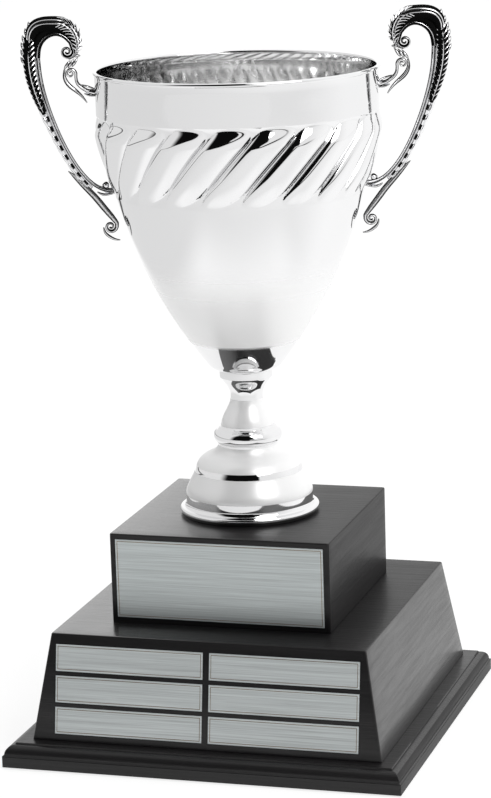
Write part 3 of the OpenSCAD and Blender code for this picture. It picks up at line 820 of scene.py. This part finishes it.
def handle_parts():
    """Every bar, pod, leaf and ridge of one handle, as (vertices, faces, darkness)."""
    crest = Strand(CREST, 110)
    spray = Strand(SPRAY, 100)
    arch = Strand(ARCH, 90, volute((124.8, 353.8), (5.0, 3.0, 7.5), (1.0, 1.0, 8.5), 1.45, 1))
    lower = Strand(LOWER, 80, volute((97.6, 222.2), (4.6, 3.0, 6), (0.9, 1.0, 6.5), 1.4, 1))
    arm = Strand(ARM, 40, volute((122.8, 337.6), (4.0, 2.2, 4.6), (0.8, 0.9, 5.4), 1.4, -1))
    # Painted shade: the crest, web, spray, arch, arm, scroll and thin bars are painted black all round as
    # shade and dark reflections, with bright silver left along their stripes; the darker flanks of the other
    # bars and of the pods are partly oxide in recesses, partly painted shade.
    painted_dark_sides = ((90, 30, 0),)
    plain = [
        crest.mesh(120, 1.0, ((56, 6, 0), (81, 5, 0)), 0.05),
        Strand(WEB, 60).mesh(12, 1.0),
        spray.mesh(20, 1.0),
        arch.mesh(48, 1.0, ((66, 17, 0),), 0.05),
        Strand(INNER, 120).mesh(48, 0.1, ((70, 18, 1), (146, 20, 0.9), (0, 20, 0.9)), 0.03),
        Strand(OUTER, 160).mesh(24, 0.0, ((180, 50, 0.6), (0, 40, 0.8)), beads=(7.9, 0.3)),
        Strand(CORE, 160).mesh(32, 0.1, ((90, 36, 1),), dashes=7.9),
        lower.mesh(40, 0.1, ((180, 78, 1), (0, 50, 1), (60, 9, 0.6))),
        Strand(LOWER_CURL, 30).mesh(24, 1.0, painted_dark_sides),
        arm.mesh(24, 1.0, painted_dark_sides),
        Strand(SCROLL, 50).mesh(24, 1.0, ((78, 30, 0),)),
        Strand(ARM_TOP, 24).mesh(24, 1.0, painted_dark_sides),
        Strand(ARM_LOW, 20).mesh(24, 1.0, painted_dark_sides),
        Strand(LEAF_LOW, 20).mesh(24, 1.0, painted_dark_sides),
        pod((104.4, 322.8), math.radians(90), (3.9, 1.7, 4.2), 0.9),
        pod((100.2, 253.4), 0, (2.8, 2.7, 2.8), 1.1),
    ]
    for i in range(3):
        plain.append(pod((124.9 - 2.9 * i, 344.4 + 0.8 * i), math.radians(125), (4.4, 1.1, 2.6), 1.2))
    length = spray.way[-1]
    end = crest.way[-1]
    plain += [leaf(spray, 1 + 5 * i, 160, 6.5, 15 + 2 * i) for i in range(6)]
    plain += [leaf(crest, end - 29.5 + 4.2 * i, 24, 6.2 - 0.2 * i, 4 + 6 * i) for i in range(7)]
    ways = np.arange(length - 5, 5, -BARB_PITCH)
    front = barbs(spray, ways, 92, np.full(len(ways), 5.4), (168, 22))
    front.append(ridge(spray.on(np.linspace(3, length - 2, 40), math.radians(92), 0.3), 0.55, 0.8))
    front.append(ridge(spray.on(np.linspace(6, length - 8, 40), math.radians(20), 0.0), 0.45, 0.8))
    ways = np.arange(end - 8, end - 30, -2.7)
    lengths = np.interp(ways, [end - 30, end - 20, end - 8], [9.0, 6.5, 3.5])
    flares = np.interp(ways, [end - 30, end - 17], [-2.0, 2.0])
    front += barbs(crest, ways, 58, lengths, (4, 128), 0.5, flares)
    front.append(ridge(crest.on(np.linspace(end - 33, end - 6, 30), math.radians(58), 0.3), 0.6, 0.9))
    return plain + both_faces(front)


def make_handle(name, node, turn):
    """One handle, turned about the cup's axis into its place."""
    parts = handle_parts()
    vertices, faces = joined([(v, f) for v, f, _ in parts])
    dark = np.concatenate([each for _, _, each in parts])
    spin = np.array(Matrix.Rotation(turn, 3, "Z"))
    placed = vertices @ spin.T + np.array([0, 0, TOP_Z])
    piece(name, placed, faces, CAST, [node], 50, dark)


make_handle("handle_right_casting", "handle_right", CUP_TURN)
make_handle("handle_left_casting", "handle_left", CUP_TURN + math.pi)


# ---------------------------------------------------------------- floor, light and camera
# The studio is laid out round one front direction; azimuths in it are in degrees, 0 to the front
# and positive to the right.
FRONT_TURN = math.radians(16.959)
STUDIO_RIGHT = Vector((math.cos(FRONT_TURN), math.sin(FRONT_TURN), 0))
STUDIO_FRONT = Vector((STUDIO_RIGHT.y, -STUDIO_RIGHT.x, 0))
UP = Vector((0, 0, 1))
TO_DEGREES = 180 / math.pi
TONE_LEFT, TONE_FRONT, TONE_RIGHT, TONE_BEHIND = 0.83, 0.9, 1.07, 1.1
DARK = 0.004
FLOOR_SELF = 0.27  # how much of the floor's tone comes from the light on it
FLOOR_WHITE = 0.79


def studio_tone(s, way):
    """Azimuth of a level direction and the studio's brightness there."""
    turn = s.maths("ARCTAN2", s.along(way, STUDIO_RIGHT), s.along(way, STUDIO_FRONT))
    azimuth = s.maths("MULTIPLY", turn, TO_DEGREES)
    to_front = s.mix(s.step(azimuth, -80, 40), TONE_LEFT, TONE_FRONT)
    return azimuth, s.mix(s.step(azimuth, 45, 100), to_front, TONE_RIGHT)


def make_floor():
    """Paper that is white behind and just round the cup, and studio grey in front."""
    s = Shader("floor_white")
    spot = s.node("ShaderNodeTexCoord").outputs["Object"]
    depth = s.along(spot, -STUDIO_FRONT)
    aside = s.maths("ABSOLUTE", s.along(spot, STUDIO_RIGHT))
    edge = s.maths("SUBTRACT", aside, s.maths("MULTIPLY", depth, 0.1))
    white = s.maths("MULTIPLY", s.step(edge, 0.5, 0.29), s.step(depth, -0.55, -0.22))
    tone = studio_tone(s, spot)[1]
    fibres = s.noise(s.place(), 400.0)
    glow = s.mix(white, s.maths("SUBTRACT", tone, FLOOR_SELF), FLOOR_WHITE)
    s.set(Base_Color=s.ramp(fibres, [(0.3, 0.28), (0.7, 0.3)]), Roughness=0.9, Specular_IOR_Level=0.0)
    s.set(Emission_Color=(1, 1, 1, 1), Emission_Strength=glow)
    near, far = -2.6, 9.0
    mesh = bpy.data.meshes.new("floor")
    mesh.from_pydata([(-3, near, 0), (3, near, 0), (6, far, 0), (-8, far, 0)], [], [(0, 1, 2, 3)])
    mesh.materials.append(s.material)
    floor = bpy.data.objects.new("floor", mesh)
    bpy.context.scene.collection.objects.link(floor)


def area_light(name, centre, target, size, power):
    """A soft rectangular light, in watts, aimed at a point."""
    data = bpy.data.lights.new(name, "AREA")
    data.shape = "RECTANGLE"
    data.size, data.size_y = size
    data.energy = power
    made = bpy.data.objects.new(name, data)
    made.location = centre
    made.rotation_euler = (Vector(centre) - Vector(target)).to_track_quat("Z", "Y").to_euler()
    bpy.context.scene.collection.objects.link(made)


def make_world():
    """A pale studio with a dark gap to the front, from the left to just past the middle, wider higher up.

    A thin dark line runs along the horizon but not to the right, and a bright strip stands behind."""
    s = Shader("studio", "worlds", "Background")
    ray = s.node("ShaderNodeTexCoord").outputs["Generated"]
    azimuth, tone = studio_tone(s, ray)
    height = s.maths("MULTIPLY", s.maths("ARCSINE", s.along(ray, UP)), TO_DEGREES)
    gap_end = s.mix(s.step(height, 6, 12), 8, 24)
    gap_right = s.step(azimuth, gap_end, s.maths("SUBTRACT", gap_end, 5))
    gap = s.maths("MULTIPLY", s.step(azimuth, -68, -48), gap_right)
    low_band = s.maths("MULTIPLY", s.step(height, 3, 0), s.step(azimuth, 75, 40))
    lit = s.mix(s.maths("MAXIMUM", gap, low_band), tone, DARK)
    left = s.step(azimuth, -10, -30)
    below = s.step(height, s.mix(left, -3, 0), s.mix(left, -6, -2))
    lit = s.mix(below, lit, tone)
    behind = s.step(s.maths("ABSOLUTE", azimuth), 160, 168)
    s.set(Color=s.mix(behind, lit, TONE_BEHIND), Strength=1.0)
    bpy.context.scene.world = s.material
    bpy.context.scene.view_settings.view_transform = "Standard"


def make_camera():
    """The view: from the front right, a little above."""
    pitch, roll = math.radians(12.7355), math.radians(-1.8005)
    ahead = -STUDIO_FRONT * math.cos(pitch) - UP * math.sin(pitch)
    up = STUDIO_RIGHT.cross(ahead)
    across = STUDIO_RIGHT * math.cos(roll) + up * math.sin(roll)
    upward = up * math.cos(roll) - STUDIO_RIGHT * math.sin(roll)
    data = bpy.data.cameras.new("camera")
    data.lens = 141.36
    data.clip_end = 100
    made = bpy.data.objects.new("camera", data)
    made.matrix_world = Matrix((
        (across.x, upward.x, -ahead.x, 0.6744),
        (across.y, upward.y, -ahead.y, -2.2148),
        (across.z, upward.z, -ahead.z, 0.7764),
        (0, 0, 0, 1),
    ))
    bpy.context.scene.collection.objects.link(made)
    bpy.context.scene.camera = made


make_floor()
make_world()
area_light("key", (1.6, -1.2, 2.2), (0, 0, 0.2), (1.6, 1.6), 30)
make_camera()
